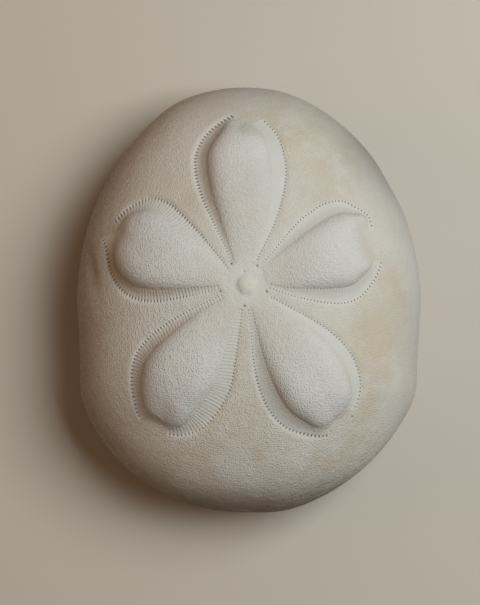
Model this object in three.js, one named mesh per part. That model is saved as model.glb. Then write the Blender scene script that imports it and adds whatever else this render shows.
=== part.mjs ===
// The dry, cleaned shell of a sea biscuit: a thick domed sea urchin that grew in one piece.
// Five raised petals stand on its top, each between two sunken bands that hold the pores.
// Units are millimetres. +Z is up, +Y is the front, and the shell rests on z = 0.
import * as THREE from "three";
import { ConvexHull } from "three/addons/math/ConvexHull.js";

const { clamp, degToRad, lerp, smoothstep } = THREE.MathUtils;

// Overall size
const LENGTH = 120;
const WIDTH = 97;
const HEIGHT = 52;
const MEAN_RADIUS = (LENGTH + WIDTH) / 4;

// Radius of the widest section, every 10 degrees from +X towards +Y
const RIM_RADII = [
  48.5, 48.6, 49.2, 50.2, 51.4, 53.6, 55.6, 57.7, 59.5,
  60.1, 60.1, 59.4, 57, 54.4, 52.3, 50.8, 49.6, 48.7,
  48.6, 48.8, 50.8, 54.6, 56.7, 58.1, 59.2, 59.9, 59.9,
  59.8, 60.1, 59.1, 57.9, 56.6, 55.3, 54, 50.6, 48.8,
];
const RIM_Z = 17; // height of the widest section

// Dome over the widest section, before the petals are raised on it
const DOME_Z = 50.4;
const DOME_PLAN_POWER = 2.4; // how long the top stays flat on its way out
const DOME_FALL_POWER = 2.2; // how upright the shoulder ends

// Outer edge of each sunken band, from the middle of the shell out to the petal's tip, as x and y.
// Left and right are as seen from above, looking out along the petal. Each petal's two bands have
// a full width and a share of it that is left at the tip. The ending is the stretch of distances
// from the tip over which the petal rises to its full height.
const PETALS = {
  front: {
    left: [[-5.2, 10.3], [-7.3, 15.2], [-10.3, 21.2], [-13.3, 27.4], [-15.2, 34], [-15.3, 39.6],
      [-13.1, 44.6], [-9.3, 48.6], [-4.7, 51.5], [-0.3, 54.2]],
    right: [[2.1, 10.6], [4.2, 14.7], [7, 20.6], [9.1, 27.1], [10.3, 34], [9.8, 39.8],
      [8.2, 44.9], [6.3, 47.6], [3.8, 50], [-0.3, 54.2]],
    widths: [4.1, 4.6],
    endWidths: [0.15, 0.8],
    ending: [3, 15],
  },
  frontLeft: {
    left: [[-8.1, 2.8], [-11.6, 2.1], [-16.8, 0.8], [-22.5, -0.4], [-27.7, -0.8], [-32.6, 0.4],
      [-36.6, 3.7], [-38.9, 8.3], [-39.8, 13], [-40.8, 17.2], [-40.2, 20]],
    right: [[-5.4, 8.7], [-9.5, 13.7], [-13.8, 19], [-17.6, 23.1], [-22.3, 27], [-27, 28.3],
      [-31.7, 26.9], [-35.4, 24.2], [-37.3, 22.1], [-40.2, 20]],
    widths: [4.1, 3.8],
    endWidths: [1.25, 0.65],
    ending: [1.5, 12],
  },
  frontRight: {
    left: [[3.4, 10.3], [6.1, 13.3], [9.6, 17.6], [12.9, 21.4], [16.5, 24.3], [20.6, 26.7],
      [25.3, 27.5], [29.4, 25.8], [32.8, 23.6], [34.1, 19.8], [36, 15.7]],
    right: [[5.1, 3.2], [9.9, 1.5], [15.6, 0], [21.3, -1], [26.2, -1], [30.1, 0.4],
      [33.1, 3.4], [35.4, 6.9], [36.4, 10.5], [36, 15.7]],
    widths: [4.2, 4.7],
    endWidths: [0.1, 0.7],
    ending: [2, 12],
  },
  rearLeft: {
    left: [[-1.7, -2.3], [-2.4, -8], [-3.4, -15.5], [-4.9, -24.2], [-8.2, -30.2], [-12.5, -35.1],
      [-17.4, -37.1], [-22.6, -36.9], [-26.9, -35.5]],
    right: [[-7.3, 1.7], [-11.1, 0.1], [-16.2, -2.3], [-21.9, -5.4], [-27.4, -9.4],
      [-31.3, -14.3], [-32.8, -20.3], [-32.2, -27.1], [-30.3, -32.6], [-26.9, -35.5]],
    widths: [5.2, 4.2],
    endWidths: [0.4, 0.8],
    ending: [0.5, 6],
  },
  rearRight: {
    left: [[5.6, 1.2], [11, -1.6], [16.4, -4.5], [22.4, -8.4], [27.3, -13.4], [30.1, -19.4],
      [30.6, -24.9], [28.9, -30.1], [25.6, -35.6]],
    right: [[-0.6, -2.3], [0.1, -8], [0.7, -16.1], [2.1, -23.4], [5.1, -30.2], [9.2, -34.6],
      [14.6, -37], [19.3, -37.7], [22, -37.2], [25.6, -35.6]],
    widths: [3.6, 4.9],
    endWidths: [0.8, 0.6],
    ending: [1, 7],
  },
};

// Button with five lobes in the middle of the petals
const BUTTON = { x: -0.6, y: 4.1, radius: 2.5, height: 0.6, lobes: 5, lobeDepth: 0.08 };
const BUTTON_WALL = [0.45, 1.2]; // shares of its radius between which it falls away

// Sunken bands. They open and deepen on the way out, over stretches that are shares of the
// distance from the button to the petal's tip, and close again within some distance of the tip.
const BAND_OPENING = [0.1, 0.7];
const BAND_CLOSING = [3, 16];
const BAND_START_WIDTH = 0.3; // as a share of the full width, near the button
const BAND_DEEPENING = [0.02, 0.6];
const EDGE_DROP = 0.35; // at the outer edge, between two distances from it
const EDGE_WALL = [-1, 0.8];
const EDGE_ENDING = [4, 12]; // distances from the tip over which the drop fades
const FLOOR_RISE = 1.2; // from the outer edge up to the petal's foot
const FLOOR_POWER = 2.2; // how late the floor curves up

// Raised petals
const PETAL_HEIGHT = 3.3; // above the foot
const PETAL_FLANK = 9.5; // distance inside the foot at which a petal reaches its height
const PETAL_STARTING = [0.02, 0.7]; // stretch over which it rises
const TIP_ROUNDING = 8; // how far apart the two feet start to join in one round end
const TIP_ROUNDING_FADE = [6, 20]; // distances from the tip over which they stop doing so

// Shallow fold of the left margin, just outside a band's end, turned from straight ahead
const DENT = { x: -43.7, y: 9.6, turn: degToRad(12), halfWidth: 1.3, halfLength: 6, depth: 1.1 };
const DENT_ROWS = [-1.2, 0, 1.2]; // shares of its half width at which vertices lie
const DENT_SPACING = 1.8; // between vertices along it

// Underside: a flat ring to rest on, and inside it a funnel that leads up to the mouth
const REST_OUTER = 0.78; // shares of the widest section's radius
const REST_INNER = 0.6;
const FUNNEL_DEPTH = 12;
const FUNNEL_POWER = 1.6;
const MOUTH_RADIUS = 4.6;
const MOUTH_DEPTH = 6; // above the end of the funnel
const FOOD_GROOVES = 5;
const FOOD_GROOVE_START = degToRad(90);
const FOOD_GROOVE_HALF_WIDTH = 1.3;
const FOOD_GROOVE_DEPTH = 0.7;
const FOOD_GROOVE_FADE = [0.72, 0.84]; // shares of the radius over which a groove ends
const VENT = { x: 0, y: -49, radius: 2.4, depth: 1.8 };

// Mesh. Vertices keep clear of each other by a distance that depends on where they lie.
const BAND_STEPS = 160;
const BAND_SPACING = 1.9; // between vertices along a band
const BAND_CLEARANCE = 0.85;
const BAND_ROWS = [ // each a share of the band's width and a distance further in
  { share: 1, shift: -0.4 },
  { share: 0, shift: 0.6 },
  { share: 0, shift: -0.8 },
  { share: 1, shift: 0.9 },
];
const FILL_SPACING = 2.5;
const FILL_CLEARANCE = 1.7;
const RING_CLEARANCE = 1.5;
const RIM_POINTS = 110;
const UNDERSIDE_RINGS = [ // each a share of the radius and a count of vertices
  [0.993, 108], [0.97, 104], [0.935, 100], [0.89, 96], [0.835, 92], [REST_OUTER, 90],
  [0.69, 72], [REST_INNER, 64], [0.5, 54], [0.4, 44], [0.3, 34], [0.21, 26], [0.14, 20],
];
const PIT_POINTS = 16;
const PIT_WALL = 0.35; // half the width of the wall of the mouth and of the vent
const PIT_CLEARANCE = 0.2;
const GROOVE_START = 2; // outside the mouth
const GROOVE_SPACING = 2.4;
const SLOPE_REACH = 0.05; // how far apart the heights are taken that give a slope
const SLOPE_LIMIT = 0.997; // share of the radius past which the slope no longer changes
const ARC_STEPS = 400;
const HALVINGS = 30;
const GOLDEN_ANGLE = Math.PI * (3 - Math.sqrt(5));

// Radius of the widest section at an angle, on a smooth closed curve through the listed radii.
function rimRadius(angle) {
  const count = RIM_RADII.length;
  const place = THREE.MathUtils.euclideanModulo((angle / (2 * Math.PI)) * count, count);
  const first = Math.floor(place);
  const part = place - first;
  const [a, b, c, d] = [-1, 0, 1, 2].map((step) => RIM_RADII[(first + step + count) % count]);
  const slope = c - a + part * (2 * a - 5 * b + 4 * c - d + part * (3 * b - a - 3 * c + d));
  return b + 0.5 * part * slope;
}

// Distance from the middle as a share of the widest section's radius.
function rimShare(x, y) {
  return Math.hypot(x, y) / rimRadius(Math.atan2(y, x));
}

function domeHeight(share) {
  const fall = 1 - Math.min(share, 1) ** DOME_PLAN_POWER;
  return RIM_Z + (DOME_Z - RIM_Z) * fall ** (1 / DOME_FALL_POWER);
}

function domePoint(x, y) {
  return new THREE.Vector3(x, y, domeHeight(rimShare(x, y)));
}

// Direction that faces straight out of the dome, from the slope around a point.
function domeNormal(x, y) {
  const shrink = Math.min(1, SLOPE_LIMIT / rimShare(x, y));
  const [px, py] = [x * shrink, y * shrink];
  const alongX = domePoint(px + SLOPE_REACH, py).sub(domePoint(px - SLOPE_REACH, py));
  const alongY = domePoint(px, py + SLOPE_REACH).sub(domePoint(px, py - SLOPE_REACH));
  return alongX.cross(alongY).normalize();
}

function buttonDistance(x, y) {
  return Math.hypot(x - BUTTON.x, y - BUTTON.y);
}

function bandWidth({ width, endWidth }, out, fromTip) {
  const opening = lerp(BAND_START_WIDTH, 1, smoothstep(out, ...BAND_OPENING));
  const closing = lerp(endWidth, 1, smoothstep(fromTip, ...BAND_CLOSING));
  return width * opening * closing;
}

// A band's outer edge as closely spaced points on the dome, each with the direction across it
// towards the petal.
function makeBand(plan, petalSide, width, endWidth) {
  const curve = new THREE.CatmullRomCurve3(plan.map(([x, y]) => domePoint(x, y)));
  const edge = curve.getSpacedPoints(BAND_STEPS).map(({ x, y }) => domePoint(x, y));
  const across = edge.map((point, i) => {
    const before = edge[Math.max(i - 1, 0)];
    const along = edge[Math.min(i + 1, BAND_STEPS)].clone().sub(before);
    return along.cross(domeNormal(point.x, point.y)).setLength(petalSide);
  });
  return { edge, across, width, endWidth, length: curve.getLength() };
}

function makePetal({ left, right, widths, endWidths, ending }) {
  const bands = [
    makeBand(left, 1, widths[0], endWidths[0]),
    makeBand(right, -1, widths[1], endWidths[1]),
  ];
  const tip = bands[0].edge.at(-1);
  const outline = [...bands[0].edge, ...bands[1].edge.toReversed()];
  return { bands, tip, outline, ending, reach: buttonDistance(tip.x, tip.y) };
}

const petals = Object.values(PETALS).map(makePetal);

// Whether a point lies inside a closed outline, seen from above.
function isInside(point, outline) {
  let inside = false;
  outline.forEach((end, i) => {
    const start = outline.at(i - 1);
    if (start.y > point.y === end.y > point.y) return;
    const crossing = start.x + ((point.y - start.y) * (end.x - start.x)) / (end.y - start.y);
    if (point.x < crossing) inside = !inside;
  });
  return inside;
}

function nearestDistance(point, line) {
  return Math.sqrt(Math.min(...line.map((sample) => sample.distanceToSquared(point))));
}

// How far the surface drops at the outer edge of the nearer of a petal's two bands.
function edgeDrop([left, right], fromTip) {
  const nearest = left > 0 ? Math.min(left, right) : Math.max(left, right);
  return EDGE_DROP * smoothstep(nearest, ...EDGE_WALL) * smoothstep(fromTip, ...EDGE_ENDING);
}

// How far the floors of both bands have curved up towards the petal's feet.
function floorRise([left, right], [leftWidth, rightWidth]) {
  const floor = clamp(left / leftWidth, 0, 1) * clamp(right / rightWidth, 0, 1);
  return FLOOR_RISE * floor ** FLOOR_POWER;
}

// Height of a petal above its feet, rounded from foot to foot.
function petalRise([fromLeftFoot, fromRightFoot]) {
  if (fromLeftFoot <= 0 || fromRightFoot <= 0) return 0;
  const inside = (2 * fromLeftFoot * fromRightFoot) / (fromLeftFoot + fromRightFoot);
  const rest = 1 - Math.min(inside / PETAL_FLANK, 1);
  return PETAL_HEIGHT * (1 - rest * rest);
}

// How much both feet give way where they meet near the tip, so that the petal ends round.
function cornerCut([fromLeftFoot, fromRightFoot], fromTip) {
  const span = TIP_ROUNDING * (1 - smoothstep(fromTip, ...TIP_ROUNDING_FADE));
  const apart = Math.abs(fromLeftFoot - fromRightFoot);
  return apart < span ? (span / 4) * (1 - apart / span) ** 2 : 0;
}

// Height of the relief that a petal and its two bands add to the dome at a point.
function petalRelief(point, { bands, tip, outline, ending, reach }) {
  const out = buttonDistance(point.x, point.y) / reach;
  const fromTip = point.distanceTo(tip);
  const side = isInside(point, outline) ? 1 : -1;
  const fromEdges = bands.map((band) => side * nearestDistance(point, band.edge));
  const widths = bands.map((band) => bandWidth(band, out, fromTip));
  const fromFeet = fromEdges.map((fromEdge, i) => fromEdge - widths[i]);
  const cut = cornerCut(fromFeet, fromTip);
  const floor = floorRise(fromEdges.map((fromEdge) => fromEdge - cut), widths);
  const back = petalRise(fromFeet.map((fromFoot) => fromFoot - cut));
  const deepening = smoothstep(out, ...BAND_DEEPENING);
  const raised = deepening * floor + smoothstep(out, ...PETAL_STARTING) * back;
  return smoothstep(fromTip, ...ending) * raised - deepening * edgeDrop(fromEdges, fromTip);
}

function buttonRelief({ x, y }) {
  const angle = Math.atan2(y - BUTTON.y, x - BUTTON.x) - Math.PI / 2;
  const radius = BUTTON.radius * (1 + BUTTON.lobeDepth * Math.cos(BUTTON.lobes * angle));
  return BUTTON.height * (1 - smoothstep(buttonDistance(x, y) / radius, ...BUTTON_WALL));
}

function dentDepth({ x, y }) {
  const [offX, offY] = [x - DENT.x, y - DENT.y];
  const across = (offX * Math.cos(DENT.turn) + offY * Math.sin(DENT.turn)) / DENT.halfWidth;
  const along = (offY * Math.cos(DENT.turn) - offX * Math.sin(DENT.turn)) / DENT.halfLength;
  return DENT.depth * Math.exp(-across * across - along * along);
}

function topPoint(x, y) {
  const point = domePoint(x, y);
  let height = buttonRelief(point) - dentDepth(point);
  for (const petal of petals) height += petalRelief(point, petal);
  return point.addScaledVector(domeNormal(x, y), height);
}

// Height of the plain underside: the rounded margin, the flat ring and the funnel.
function undersideHeight(share) {
  if (share >= REST_OUTER) {
    const out = Math.min((share - REST_OUTER) / (1 - REST_OUTER), 1);
    return RIM_Z * (1 - Math.sqrt(1 - out * out));
  }
  const inward = Math.max(1 - share / REST_INNER, 0);
  return FUNNEL_DEPTH * inward ** FUNNEL_POWER;
}

function foodGrooveAngle(index) {
  return FOOD_GROOVE_START + (index * 2 * Math.PI) / FOOD_GROOVES;
}

// Depth of the five food grooves, which run straight from the mouth to the margin.
function foodGrooveDepth(x, y, share) {
  let depth = 0;
  for (let i = 0; i < FOOD_GROOVES; i++) {
    const angle = foodGrooveAngle(i);
    const out = x * Math.cos(angle) + y * Math.sin(angle);
    const aside = Math.abs(y * Math.cos(angle) - x * Math.sin(angle));
    if (out > 0) depth += FOOD_GROOVE_DEPTH * (1 - smoothstep(aside, 0, FOOD_GROOVE_HALF_WIDTH));
  }
  return depth * (1 - smoothstep(share, ...FOOD_GROOVE_FADE));
}

function undersidePoint(x, y) {
  const share = rimShare(x, y);
  let height = undersideHeight(share) + foodGrooveDepth(x, y, share);
  if (Math.hypot(x, y) < MOUTH_RADIUS) height = FUNNEL_DEPTH + MOUTH_DEPTH;
  if (Math.hypot(x - VENT.x, y - VENT.y) < VENT.radius) height += VENT.depth;
  return new THREE.Vector3(x, y, height);
}

// Length along a section from the middle to the rim, as a share of its whole length.
function arcShares(height) {
  const lengths = [0];
  for (let i = 1; i <= ARC_STEPS; i++) {
    const rise = height(i / ARC_STEPS) - height((i - 1) / ARC_STEPS);
    lengths.push(lengths[i - 1] + Math.hypot(MEAN_RADIUS / ARC_STEPS, rise));
  }
  return (share) => {
    const place = Math.min(share, 1) * ARC_STEPS;
    const first = Math.min(Math.floor(place), ARC_STEPS - 1);
    const length = lerp(lengths[first], lengths[first + 1], place - first);
    return length / lengths[ARC_STEPS];
  };
}

const topArc = arcShares(domeHeight);
const undersideArc = arcShares(undersideHeight);

// The plan place of a point at a share of the section's length and an angle around.
function placeAt(arc, arcShare, angle) {
  let [low, high] = [0, 1];
  for (let i = 0; i < HALVINGS; i++) {
    const middle = (low + high) / 2;
    if (arc(middle) < arcShare) low = middle;
    else high = middle;
  }
  const radius = low * rimRadius(angle);
  return [radius * Math.cos(angle), radius * Math.sin(angle)];
}

// Every vertex has its place on the shell and a place on a ball. The ball's hull joins the
// vertices into triangles, so the skin closes all round without a seam.
const vertices = [];

function addVertex(x, y, isTop, clearance) {
  const plain = isTop ? domePoint(x, y) : new THREE.Vector3(x, y, undersideHeight(rimShare(x, y)));
  if (vertices.some((vertex) => vertex.plain.distanceTo(plain) < clearance)) return;
  const turn = (Math.PI / 2) * (isTop ? topArc : undersideArc)(rimShare(x, y));
  const ball = new THREE.Vector3(x, y, 0).setLength(Math.sin(turn));
  ball.z = (isTop ? 1 : -1) * Math.cos(turn);
  vertices.push({ plain, ball, place: isTop ? topPoint(x, y) : undersidePoint(x, y) });
}

// Vertices beside each band's edge and beside the petal's foot, so that both stay sharp.
function addBandVertices() {
  for (const { bands, tip, reach } of petals) {
    for (const band of bands) {
      for (const row of BAND_ROWS) addBandRow(band, row, tip, reach);
    }
  }
}

function addBandRow(band, { share, shift }, tip, reach) {
  const { edge, across, length } = band;
  const steps = Math.round(length / BAND_SPACING);
  for (let i = 0; i <= steps; i++) {
    const sample = Math.round((i / steps) * BAND_STEPS);
    const out = buttonDistance(edge[sample].x, edge[sample].y) / reach;
    const inward = share * bandWidth(band, out, edge[sample].distanceTo(tip)) + shift;
    const { x, y } = edge[sample].clone().addScaledVector(across[sample], inward);
    addVertex(x, y, true, BAND_CLEARANCE);
  }
}

// Rows of vertices along the fold of the margin, so that it keeps its depth.
function addDentVertices() {
  for (let along = -DENT.halfLength; along <= DENT.halfLength; along += DENT_SPACING) {
    for (const row of DENT_ROWS) {
      const aside = row * DENT.halfWidth;
      const x = DENT.x + aside * Math.cos(DENT.turn) - along * Math.sin(DENT.turn);
      const y = DENT.y + aside * Math.sin(DENT.turn) + along * Math.cos(DENT.turn);
      addVertex(x, y, true, BAND_CLEARANCE);
    }
  }
}

function addRing(share, count, isTop) {
  for (let i = 0; i < count; i++) {
    const angle = (i * 2 * Math.PI) / count;
    const radius = share * rimRadius(angle);
    addVertex(radius * Math.cos(angle), radius * Math.sin(angle), isTop, RING_CLEARANCE);
  }
}

function addCircle({ x, y, radius }, count) {
  for (let i = 0; i < count; i++) {
    const angle = ((i + 0.5) * 2 * Math.PI) / count;
    const [px, py] = [x + radius * Math.cos(angle), y + radius * Math.sin(angle)];
    addVertex(px, py, false, PIT_CLEARANCE);
  }
}

// Even cover of the top, on a spiral that keeps away from the vertices already there.
function addTopFill() {
  const area = 2 * Math.PI * MEAN_RADIUS ** 2;
  const count = Math.round(area / FILL_SPACING ** 2);
  for (let i = 0; i < count; i++) {
    const turn = Math.acos(1 - (i + 0.5) / count);
    const [x, y] = placeAt(topArc, turn / (Math.PI / 2), i * GOLDEN_ANGLE);
    addVertex(x, y, true, FILL_CLEARANCE);
  }
}

function addUndersideVertices() {
  for (const pit of [{ x: 0, y: 0, radius: MOUTH_RADIUS }, VENT]) {
    addCircle({ ...pit, radius: pit.radius + PIT_WALL }, PIT_POINTS);
    addCircle({ ...pit, radius: pit.radius - PIT_WALL }, PIT_POINTS);
    addVertex(pit.x, pit.y, false, 0);
  }
  for (let i = 0; i < FOOD_GROOVES; i++) addFoodGrooveVertices(foodGrooveAngle(i));
  for (const [share, count] of UNDERSIDE_RINGS) addRing(share, count, false);
}

// Three rows of vertices along a food groove: its middle and its two edges.
function addFoodGrooveVertices(angle) {
  const end = FOOD_GROOVE_FADE[1] * rimRadius(angle);
  for (let out = MOUTH_RADIUS + GROOVE_START; out < end; out += GROOVE_SPACING) {
    for (const aside of [0, -FOOD_GROOVE_HALF_WIDTH, FOOD_GROOVE_HALF_WIDTH]) {
      const x = out * Math.cos(angle) - aside * Math.sin(angle);
      const y = out * Math.sin(angle) + aside * Math.cos(angle);
      addVertex(x, y, false, BAND_CLEARANCE);
    }
  }
}

// Joins the vertices into one closed skin that faces out.
function makeSkin() {
  const directions = vertices.map((vertex) => vertex.ball);
  const order = new Map(directions.map((direction, i) => [direction, i]));
  const corners = [];
  for (const face of new ConvexHull().setFromPoints(directions).faces) {
    let edge = face.edge;
    do {
      corners.push(order.get(edge.head().point));
      edge = edge.next;
    } while (edge !== face.edge);
  }
  const geometry = new THREE.BufferGeometry();
  geometry.setFromPoints(vertices.map((vertex) => vertex.place));
  geometry.setIndex(corners);
  return geometry;
}

// Brings the finished form to its exact overall size, centred over the origin and resting on it.
function fitToSize(geometry) {
  geometry.computeBoundingBox();
  const { min, max } = geometry.boundingBox;
  geometry.translate(-(min.x + max.x) / 2, -(min.y + max.y) / 2, -min.z);
  geometry.scale(WIDTH / (max.x - min.x), LENGTH / (max.y - min.y), HEIGHT / (max.z - min.z));
  geometry.computeVertexNormals();
  return geometry;
}

addRing(1, RIM_POINTS, true);
addBandVertices();
addDentVertices();
addTopFill();
addUndersideVertices();

const material = new THREE.MeshStandardMaterial({ color: 0xd8cfbd, roughness: 0.85, metalness: 0 });
const shell = new THREE.Mesh(fitToSize(makeSkin()), material);
shell.name = "shell";

const seaBiscuit = new THREE.Group();
seaBiscuit.name = "sea_biscuit";
seaBiscuit.add(shell);

export default seaBiscuit;
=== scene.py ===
# %% [markdown]
# # The dry shell of a sea biscuit
# A sea biscuit is a thick, domed sea urchin. Its cleaned shell is one piece of chalky white
# lime: a dome, five raised petals between sunken bands of pores, a small button in their
# middle, and underneath a flat rim around a funnel that leads up to the mouth.
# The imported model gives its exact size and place. This script dresses it with a finer shell,
# in the same place, because the pores and furrows are too small for the plain solid.

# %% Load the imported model
import math

import bpy
import numpy as np
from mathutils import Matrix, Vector


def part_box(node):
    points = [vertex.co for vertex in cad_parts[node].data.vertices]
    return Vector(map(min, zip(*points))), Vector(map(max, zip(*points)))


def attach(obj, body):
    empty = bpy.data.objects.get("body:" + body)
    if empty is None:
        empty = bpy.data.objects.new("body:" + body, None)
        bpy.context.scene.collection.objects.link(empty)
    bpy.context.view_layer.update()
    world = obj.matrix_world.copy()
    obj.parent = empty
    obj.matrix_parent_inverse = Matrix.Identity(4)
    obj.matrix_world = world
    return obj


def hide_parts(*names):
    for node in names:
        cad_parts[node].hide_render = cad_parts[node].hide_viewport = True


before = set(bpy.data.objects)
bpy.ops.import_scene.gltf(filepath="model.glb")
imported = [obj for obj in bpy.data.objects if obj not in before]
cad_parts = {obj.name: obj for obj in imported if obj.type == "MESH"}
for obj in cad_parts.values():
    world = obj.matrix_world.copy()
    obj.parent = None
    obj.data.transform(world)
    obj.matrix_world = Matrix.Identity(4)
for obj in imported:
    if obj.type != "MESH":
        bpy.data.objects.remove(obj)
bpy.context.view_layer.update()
shell_low, shell_high = (np.array(corner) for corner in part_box("shell"))
print("shell from", shell_low.round(4), "to", shell_high.round(4))

# %% [markdown]
# ## The outline and the dome
# From above the shell is a rounded egg with soft corners, so its widest section is a smooth
# closed curve through a few radii. Over it stands a dome that is flat on top and steep at the
# shoulder, and under it the margin rolls in to a flat ring. It could be sculpted by hand, but
# formulas give every point of that form, so the mesh can be as fine as it needs to be anywhere.
# Measures are in millimetres until the finished mesh is brought to metres.

# %% Outline, dome and underside
MM = 0.001
RIM_RADII = np.array([
    48.5, 48.6, 49.2, 50.2, 51.4, 53.6, 55.6, 57.7, 59.5,
    60.1, 60.1, 59.4, 57, 54.4, 52.3, 50.8, 49.6, 48.7,
    48.6, 48.8, 50.8, 54.6, 56.7, 58.1, 59.2, 59.9, 59.9,
    59.8, 60.1, 59.1, 57.9, 56.6, 55.3, 54, 50.6, 48.8,
])
RIM_Z = 17
DOME_Z = 50.4
DOME_PLAN_POWER = 2.4
DOME_FALL_POWER = 2.2
REST_OUTER = 0.78
REST_INNER = 0.6
FUNNEL_DEPTH = 12
FUNNEL_POWER = 1.6
NORMAL_REACH = 0.05
NORMAL_SHARE = 0.997
TINY = 1e-9


def smoothstep(value, low, high):
    part = np.clip((value - low) / (high - low), 0, 1)
    return part * part * (3 - 2 * part)


def lerp(start, end, part):
    return start + (end - start) * part


def rim_radius(angle):
    count = len(RIM_RADII)
    place = np.mod(angle / math.tau, 1) * count
    first = np.floor(place).astype(int)
    part = place - first
    a, b, c, d = (RIM_RADII[(first + step) % count] for step in (-1, 0, 1, 2))
    slope = c - a + part * (2 * a - 5 * b + 4 * c - d + part * (3 * b - a - 3 * c + d))
    return b + 0.5 * part * slope


def rim_share(x, y):
    return np.hypot(x, y) / rim_radius(np.arctan2(y, x))


def dome_height(share):
    fall = 1 - np.minimum(share, 1) ** DOME_PLAN_POWER
    return RIM_Z + (DOME_Z - RIM_Z) * fall ** (1 / DOME_FALL_POWER)


def underside_height(share):
    out = np.clip((share - REST_OUTER) / (1 - REST_OUTER), 0, 1)
    inward = np.clip(1 - share / REST_INNER, 0, 1)
    return RIM_Z * (1 - np.sqrt(1 - out * out)) + FUNNEL_DEPTH * inward ** FUNNEL_POWER


def dome_point(x, y):
    return np.stack([x, y, dome_height(rim_share(x, y))], axis=-1)


def dome_normal(x, y):
    """The way out of the dome at a place, taken a little inside the rim, where it turns over."""
    shrink = np.minimum(1, NORMAL_SHARE / np.maximum(rim_share(x, y), TINY))
    x, y = x * shrink, y * shrink
    along_x = dome_point(x + NORMAL_REACH, y) - dome_point(x - NORMAL_REACH, y)
    along_y = dome_point(x, y + NORMAL_REACH) - dome_point(x, y - NORMAL_REACH)
    normal = np.cross(along_x, along_y)
    return normal / np.linalg.norm(normal, axis=-1, keepdims=True)


print("outline", round(2 * RIM_RADII.max()), "mm across at most")

# %% [markdown]
# ## The bands of pores
# Each petal lies between two sunken bands. A band's outer edge carries a row of slit pores, and
# a furrow joins each slit to a small round pore at the petal's foot. The pores could be cut one
# by one, but the outer edges are traced once as smooth curves on the dome, and everything beside
# them, from the wall of the band to each single pore, is worked out from how far a point lies
# along and across such a curve. No two bands are alike, so each has its own width, its share of
# that width near the petal's tip, its own slits, furrows and inner pores, and how strong the
# painted shade in its crease is. Such values come in pairs, for the band at the left and at the
# right as seen from the middle.

# %% Trace the ten band edges
PETALS = {
    "front": {
        "left": [(-5.2, 10.3), (-7.3, 15.2), (-10.3, 21.2), (-13.3, 27.4), (-15.2, 34),
                 (-15.3, 39.6), (-13.1, 44.6), (-9.3, 48.6), (-4.7, 51.5), (-0.3, 54.2)],
        "right": [(2.1, 10.6), (4.2, 14.7), (7, 20.6), (9.1, 27.1), (10.3, 34), (9.8, 39.8),
                  (8.2, 44.9), (6.3, 47.6), (3.8, 50), (-0.3, 54.2)],
        "widths": (4.1, 4.6), "end_widths": (0.15, 0.8), "slits": (0.85, 0.4),
        "end_slits": (1.5, 1.2), "furrows": (0.9, 0.2), "inner": (0.7, 0.3), "crease_shade_strength": (1, 0.1),
        "ending": (3, 15),
    },
    "front_left": {
        "left": [(-8.1, 2.8), (-11.6, 2.1), (-16.8, 0.8), (-22.5, -0.4), (-27.7, -0.8),
                 (-32.6, 0.4), (-36.6, 3.7), (-38.9, 8.3), (-39.8, 13), (-40.8, 17.2),
                 (-40.2, 20)],
        "right": [(-5.4, 8.7), (-9.5, 13.7), (-13.8, 19), (-17.6, 23.1), (-22.3, 27),
                  (-27, 28.3), (-31.7, 26.9), (-35.4, 24.2), (-37.3, 22.1), (-40.2, 20)],
        "widths": (4.1, 3.8), "end_widths": (1.25, 0.65), "slits": (0.85, 0.75),
        "end_slits": (1.3, 1.7), "furrows": (1, 0.9), "inner": (0.8, 0.2), "crease_shade_strength": (1, 0.15),
        "ending": (1.5, 12),
    },
    "front_right": {
        "left": [(3.4, 10.3), (6.1, 13.3), (9.6, 17.6), (12.9, 21.4), (16.5, 24.3),
                 (20.6, 26.7), (25.3, 27.5), (29.4, 25.8), (32.8, 23.6), (34.1, 19.8),
                 (36, 15.7)],
        "right": [(5.1, 3.2), (9.9, 1.5), (15.6, 0), (21.3, -1), (26.2, -1), (30.1, 0.4),
                  (33.1, 3.4), (35.4, 6.9), (36.4, 10.5), (36, 15.7)],
        "widths": (4.2, 4.7), "end_widths": (0.1, 0.7), "slits": (0.5, 0.45),
        "end_slits": (1, 1.2), "furrows": (0.15, 0.3), "inner": (0.4, 0.9), "crease_shade_strength": (0.2, 0.3),
        "ending": (2, 12),
    },
    "rear_left": {
        "left": [(-1.7, -2.3), (-2.4, -8), (-3.4, -15.5), (-4.9, -24.2), (-8.2, -30.2),
                 (-12.5, -35.1), (-17.4, -37.1), (-22.6, -36.9), (-26.9, -35.5)],
        "right": [(-7.3, 1.7), (-11.1, 0.1), (-16.2, -2.3), (-21.9, -5.4), (-27.4, -9.4),
                  (-31.3, -14.3), (-32.8, -20.3), (-32.2, -27.1), (-30.3, -32.6),
                  (-26.9, -35.5)],
        "widths": (5.2, 4.2), "end_widths": (0.4, 0.8), "slits": (0.5, 0.75),
        "end_slits": (1, 1), "furrows": (1, 1), "inner": (0.4, 0.8), "crease_shade_strength": (0.2, 0.7),
        "ending": (0.5, 6),
    },
    "rear_right": {
        "left": [(5.6, 1.2), (11, -1.6), (16.4, -4.5), (22.4, -8.4), (27.3, -13.4),
                 (30.1, -19.4), (30.6, -24.9), (28.9, -30.1), (25.6, -35.6)],
        "right": [(-0.6, -2.3), (0.1, -8), (0.7, -16.1), (2.1, -23.4), (5.1, -30.2),
                  (9.2, -34.6), (14.6, -37), (19.3, -37.7), (22, -37.2), (25.6, -35.6)],
        "widths": (3.6, 4.9), "end_widths": (0.8, 0.6), "slits": (0.35, 0.6),
        "end_slits": (1, 1.5), "furrows": (0.25, 0.4), "inner": (0.1, 1), "crease_shade_strength": (0.1, 0.4),
        "ending": (1, 7),
    },
}
BAND_LOOKS = ("widths", "end_widths", "slits", "end_slits", "furrows", "inner", "crease_shade_strength")
BAND_STEPS = 400
SPAN_SAMPLES = 60
BUTTON = (-0.6, 4.1)


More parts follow.
